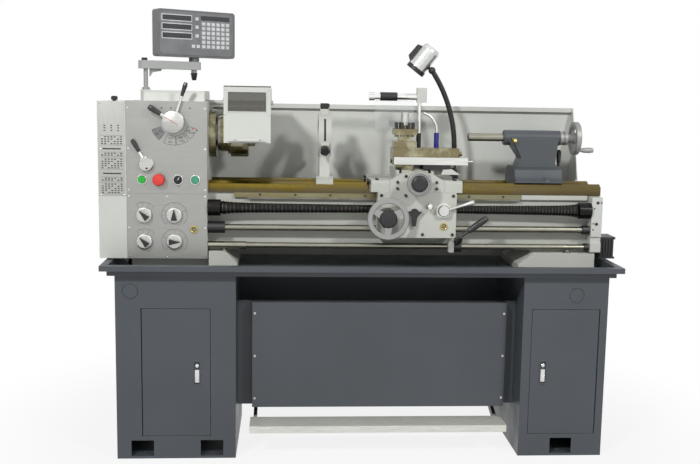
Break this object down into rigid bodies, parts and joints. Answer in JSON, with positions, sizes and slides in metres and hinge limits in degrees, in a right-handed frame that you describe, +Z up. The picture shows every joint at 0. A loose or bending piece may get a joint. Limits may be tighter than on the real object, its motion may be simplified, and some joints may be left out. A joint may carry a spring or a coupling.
{
  "type": "screw-cutting lathe",
  "caption": "Engine lathe on a cabinet stand: geared headstock, chuck and guard, bed with carriage, compound and tool post, steady, tailstock, readout and foot brake.",
  "frame": {"origin": "on the floor below the middle of the chip tray, under the spindle axis", "axes": "+X along the spindle from headstock to tailstock, +Y to the back, +Z up"},
  "size_m": [1.776, 0.54, 1.511],
  "materials": {
    "slate_paint": "satin dark blue-grey paint",
    "pale_paint": "satin pale grey paint",
    "panel_alu": "brushed panel",
    "bright_steel": "turned and ground",
    "chrome": "polished",
    "oiled_iron": "machined, with a yellow preserving oil",
    "bare_iron": "machined ways on a pale painted casting",
    "black_plastic": "moulded",
    "black_steel": "blackened",
    "rubber_belt": "ribbed",
    "clear_sheet": "clear polycarbonate",
    "green_plastic": "moulded",
    "red_plastic": "moulded",
    "display_case": "moulded case"
  },
  "bodies": {
    "stand": {"left_cabinet": "slate_paint", "right_cabinet": "slate_paint", "stand_panels": "slate_paint", "chip_tray": "slate_paint", "bed": "bare_iron", "rod_bracket": "pale_paint", "splash_guard": "pale_paint", "junction_box": "black_plastic", "headstock": "pale_paint", "gearbox": "panel_alu", "motor": "slate_paint", "drive_belt": "rubber_belt", "left_screw_cover": "black_steel", "right_screw_cover": "black_steel"},
    "left_door": {"left_door": "slate_paint"},
    "right_door": {"right_door": "slate_paint"},
    "brake_pedal": {"brake_pedal": "panel_alu"},
    "gear_cover": {"gear_cover": "pale_paint"},
    "spindle": {"spindle": "bright_steel", "chuck": "oiled_iron"},
    "idler_gear": {"idler_gear": "bright_steel"},
    "gearbox_gear": {"gearbox_gear": "bright_steel"},
    "lead_screw": {"lead_screw": "bright_steel"},
    "drive_pulley": {"drive_pulley": "bright_steel"},
    "motor_pulley": {"motor_pulley": "bright_steel"},
    "feed_rod": {"feed_rod": "bright_steel"},
    "carriage": {"saddle": "bare_iron", "apron": "pale_paint", "work_lamp": "black_steel"},
    "carriage_wheel": {"carriage_wheel": "chrome"},
    "half_nut_lever": {"half_nut_lever": "chrome"},
    "feed_lever": {"feed_lever": "black_plastic"},
    "control_lever": {"control_lever": "black_steel"},
    "control_rod": {"control_rod": "bright_steel"},
    "cross_slide": {"cross_slide": "bare_iron", "shield_post": "pale_paint"},
    "cross_wheel": {"cross_wheel": "chrome"},
    "compound": {"compound_base": "oiled_iron"},
    "top_slide": {"top_slide": "oiled_iron"},
    "tool_post": {"tool_post": "oiled_iron"},
    "tool_shield": {"tool_shield": "clear_sheet"},
    "tailstock": {"tailstock": "slate_paint"},
    "tailstock_wheel": {"tailstock_wheel": "chrome"},
    "quill": {"quill": "bright_steel"},
    "tailstock_clamp": {"tailstock_clamp": "black_steel"},
    "chuck_guard": {"chuck_guard": "pale_paint"},
    "steady_rest": {"steady_rest": "pale_paint"},
    "speed_lever": {"speed_lever": "chrome"},
    "range_lever": {"range_lever": "chrome"},
    "reverse_lever": {"reverse_lever": "chrome"},
    "upper_left_knob": {"upper_left_knob": "bright_steel"},
    "upper_right_knob": {"upper_right_knob": "bright_steel"},
    "lower_left_knob": {"lower_left_knob": "bright_steel"},
    "lower_right_knob": {"lower_right_knob": "bright_steel"},
    "start_button": {"start_button": "green_plastic"},
    "stop_button": {"stop_button": "red_plastic"},
    "coolant_button": {"coolant_button": "green_plastic"},
    "mode_switch": {"mode_switch": "black_plastic"},
    "dro_arm": {"dro_arm": "panel_alu"},
    "dro_display": {"dro_display": "display_case"}
  },
  "joints": [
    {"name": "left_door_hinge", "type": "hinge", "parent": "stand", "child": "left_door", "pos_m": [-0.738, -0.22, 0.3], "axis": [0, 0, -1], "range_deg": [0, 100]},
    {"name": "right_door_hinge", "type": "hinge", "parent": "stand", "child": "right_door", "pos_m": [0.801, -0.22, 0.3], "axis": [0, 0, 1], "range_deg": [0, 100]},
    {"name": "brake_pedal_press", "type": "hinge", "parent": "stand", "child": "brake_pedal", "pos_m": [0.055, 0.02, 0.14], "axis": [1, 0, 0], "range_deg": [0, 10], "stiffness_Nm_per_rad": 60, "springref_deg": -24.98},
    {"name": "gear_cover_hinge", "type": "hinge", "parent": "stand", "child": "gear_cover", "pos_m": [-0.798, 0.148, 0.93], "axis": [0, 0, -1], "range_deg": [0, 100]},
    {"name": "spindle_spin", "type": "hinge", "parent": "stand", "child": "spindle", "pos_m": [-0.6, 0, 1.09], "axis": [1, 0, 0], "continuous": true},
    {"name": "idler_gear_spin", "type": "hinge", "parent": "stand", "child": "idler_gear", "pos_m": [-0.842, -0.02649, 0.9613], "axis": [1, 0, 0], "continuous": true},
    {"name": "gearbox_gear_spin", "type": "hinge", "parent": "stand", "child": "gearbox_gear", "pos_m": [-0.842, -0.101, 0.868], "axis": [1, 0, 0], "continuous": true},
    {"name": "lead_screw_spin", "type": "hinge", "parent": "stand", "child": "lead_screw", "pos_m": [0.1, -0.12, 0.845], "axis": [1, 0, 0], "continuous": true},
    {"name": "drive_pulley_spin", "type": "hinge", "parent": "stand", "child": "drive_pulley", "pos_m": [-0.811, 0.065, 1], "axis": [1, 0, 0], "continuous": true},
    {"name": "motor_pulley_spin", "type": "hinge", "parent": "stand", "child": "motor_pulley", "pos_m": [-0.811, 0.065, 0.2], "axis": [1, 0, 0], "continuous": true},
    {"name": "feed_rod_spin", "type": "hinge", "parent": "stand", "child": "feed_rod", "pos_m": [0.1, -0.12, 0.778], "axis": [1, 0, 0], "continuous": true},
    {"name": "carriage_slide", "type": "slide", "parent": "stand", "child": "carriage", "axis": [1, 0, 0], "range_m": [-0.11, 0.11], "deforming": ["left_screw_cover", "right_screw_cover"]},
    {"name": "carriage_wheel_turn", "type": "hinge", "parent": "carriage", "child": "carriage_wheel", "pos_m": [0.074, -0.214, 0.822], "axis": [0, 1, 0], "range_deg": [-1765, 1765]},
    {"name": "half_nut_lever_turn", "type": "hinge", "parent": "carriage", "child": "half_nut_lever", "pos_m": [0.265, -0.18, 0.847], "axis": [0, 1, 0], "range_deg": [-25, 12]},
    {"name": "feed_lever_turn", "type": "hinge", "parent": "carriage", "child": "feed_lever", "pos_m": [0.167, -0.175, 0.838], "axis": [0, 1, 0], "range_deg": [-30, 30]},
    {"name": "control_lever_turn", "type": "hinge", "parent": "carriage", "child": "control_lever", "pos_m": [0.324, -0.12, 0.717], "axis": [1, 0, 0], "range_deg": [-20, 20]},
    {"name": "control_rod_turn", "type": "hinge", "parent": "stand", "child": "control_rod", "pos_m": [0.1, -0.12, 0.717], "axis": [1, 0, 0], "range_deg": [-20, 20]},
    {"name": "cross_slide_move", "type": "slide", "parent": "carriage", "child": "cross_slide", "axis": [0, 1, 0], "range_m": [-0.03, 0.03]},
    {"name": "cross_wheel_turn", "type": "hinge", "parent": "carriage", "child": "cross_wheel", "pos_m": [0.174, -0.2, 0.942], "axis": [0, 1, 0], "range_deg": [-2690, 2690]},
    {"name": "compound_swivel", "type": "hinge", "parent": "cross_slide", "child": "compound", "pos_m": [0.17, -0.05, 0.985], "axis": [0, 0, 1], "range_deg": [-10, 15]},
    {"name": "top_slide_move", "type": "slide", "parent": "compound", "child": "top_slide", "axis": [1, 0, 0], "range_m": [-0.03, 0.02]},
    {"name": "tool_post_turn", "type": "hinge", "parent": "top_slide", "child": "tool_post", "pos_m": [0.141, -0.05, 1.075], "axis": [0, 0, 1], "continuous": true},
    {"name": "tool_shield_swing", "type": "hinge", "parent": "cross_slide", "child": "tool_shield", "pos_m": [0.1, 0.035, 1.227], "axis": [1, 0, 0], "range_deg": [0, 60]},
    {"name": "tailstock_slide", "type": "slide", "parent": "stand", "child": "tailstock", "axis": [1, 0, 0], "range_m": [-0.06, 0.09]},
    {"name": "tailstock_wheel_turn", "type": "hinge", "parent": "tailstock", "child": "tailstock_wheel", "pos_m": [0.7575, 0, 1.09], "axis": [1, 0, 0], "range_deg": [0, 4670]},
    {"name": "quill_slide", "type": "slide", "parent": "tailstock", "child": "quill", "axis": [1, 0, 0], "range_m": [0, 0.065]},
    {"name": "tailstock_clamp_turn", "type": "hinge", "parent": "tailstock", "child": "tailstock_clamp", "pos_m": [0.7, 0.045, 0.96], "axis": [1, 0, 0], "range_deg": [0, 35]},
    {"name": "chuck_guard_swing", "type": "hinge", "parent": "stand", "child": "chuck_guard", "pos_m": [-0.4, 0.02, 1.197], "axis": [-1, 0, 0], "range_deg": [0, 78]},
    {"name": "steady_rest_slide", "type": "slide", "parent": "stand", "child": "steady_rest", "axis": [1, 0, 0], "range_m": [-0.02, 0.02]},
    {"name": "speed_lever_turn", "type": "hinge", "parent": "stand", "child": "speed_lever", "pos_m": [-0.64, -0.15, 1.132], "axis": [0, -1, 0], "range_deg": [-30, 30]},
    {"name": "range_lever_turn", "type": "hinge", "parent": "stand", "child": "range_lever", "pos_m": [-0.64, -0.144, 1.132], "axis": [0, -1, 0], "range_deg": [-20, 20]},
    {"name": "reverse_lever_turn", "type": "hinge", "parent": "stand", "child": "reverse_lever", "pos_m": [-0.732, -0.144, 0.991], "axis": [0, -1, 0], "range_deg": [-25, 25]},
    {"name": "upper_left_knob_turn", "type": "hinge", "parent": "stand", "child": "upper_left_knob", "pos_m": [-0.741, -0.145, 0.82], "axis": [0, -1, 0], "range_deg": [-60, 60]},
    {"name": "upper_right_knob_turn", "type": "hinge", "parent": "stand", "child": "upper_right_knob", "pos_m": [-0.641, -0.145, 0.82], "axis": [0, -1, 0], "range_deg": [-60, 60]},
    {"name": "lower_left_knob_turn", "type": "hinge", "parent": "stand", "child": "lower_left_knob", "pos_m": [-0.741, -0.145, 0.73], "axis": [0, -1, 0], "range_deg": [-60, 60]},
    {"name": "lower_right_knob_turn", "type": "hinge", "parent": "stand", "child": "lower_right_knob", "pos_m": [-0.641, -0.145, 0.73], "axis": [0, -1, 0], "range_deg": [-60, 60]},
    {"name": "start_button_press", "type": "slide", "parent": "stand", "child": "start_button", "axis": [0, 1, 0], "range_m": [0, 0.004], "stiffness_N_per_m": 600, "springref_m": -0.004},
    {"name": "stop_button_press", "type": "slide", "parent": "stand", "child": "stop_button", "axis": [0, 1, 0], "range_m": [0, 0.004], "stiffness_N_per_m": 600, "springref_m": -0.004},
    {"name": "coolant_button_press", "type": "slide", "parent": "stand", "child": "coolant_button", "axis": [0, 1, 0], "range_m": [0, 0.004], "stiffness_N_per_m": 600, "springref_m": -0.004},
    {"name": "mode_switch_turn", "type": "hinge", "parent": "stand", "child": "mode_switch", "pos_m": [-0.628, -0.145, 0.939], "axis": [0, -1, 0], "range_deg": [-45, 45]},
    {"name": "dro_arm_swing", "type": "hinge", "parent": "stand", "child": "dro_arm", "pos_m": [-0.75, 0, 1.25], "axis": [0, 0, 1], "range_deg": [-40, 25]},
    {"name": "dro_display_swivel", "type": "hinge", "parent": "dro_arm", "child": "dro_display", "pos_m": [-0.59411, 0.09, 1.35], "axis": [0, 0, 1], "range_deg": [-50, 50]}
  ],
  "couplings": [
    {"joint": "idler_gear_spin", "follows": "spindle_spin", "ratio": -0.37795},
    {"joint": "gearbox_gear_spin", "follows": "spindle_spin", "ratio": 1.5},
    {"joint": "lead_screw_spin", "follows": "spindle_spin", "ratio": 0.75},
    {"joint": "drive_pulley_spin", "follows": "spindle_spin", "ratio": 2},
    {"joint": "motor_pulley_spin", "follows": "spindle_spin", "ratio": 3.3143},
    {"joint": "carriage_wheel_turn", "follows": "carriage_slide", "rad_per_m": 279.25},
    {"joint": "control_rod_turn", "follows": "control_lever_turn", "ratio": 1},
    {"joint": "cross_slide_move", "follows": "cross_wheel_turn", "m_per_rad": 0.00063662},
    {"joint": "quill_slide", "follows": "tailstock_wheel_turn", "m_per_rad": 0.00079577}
  ]
}
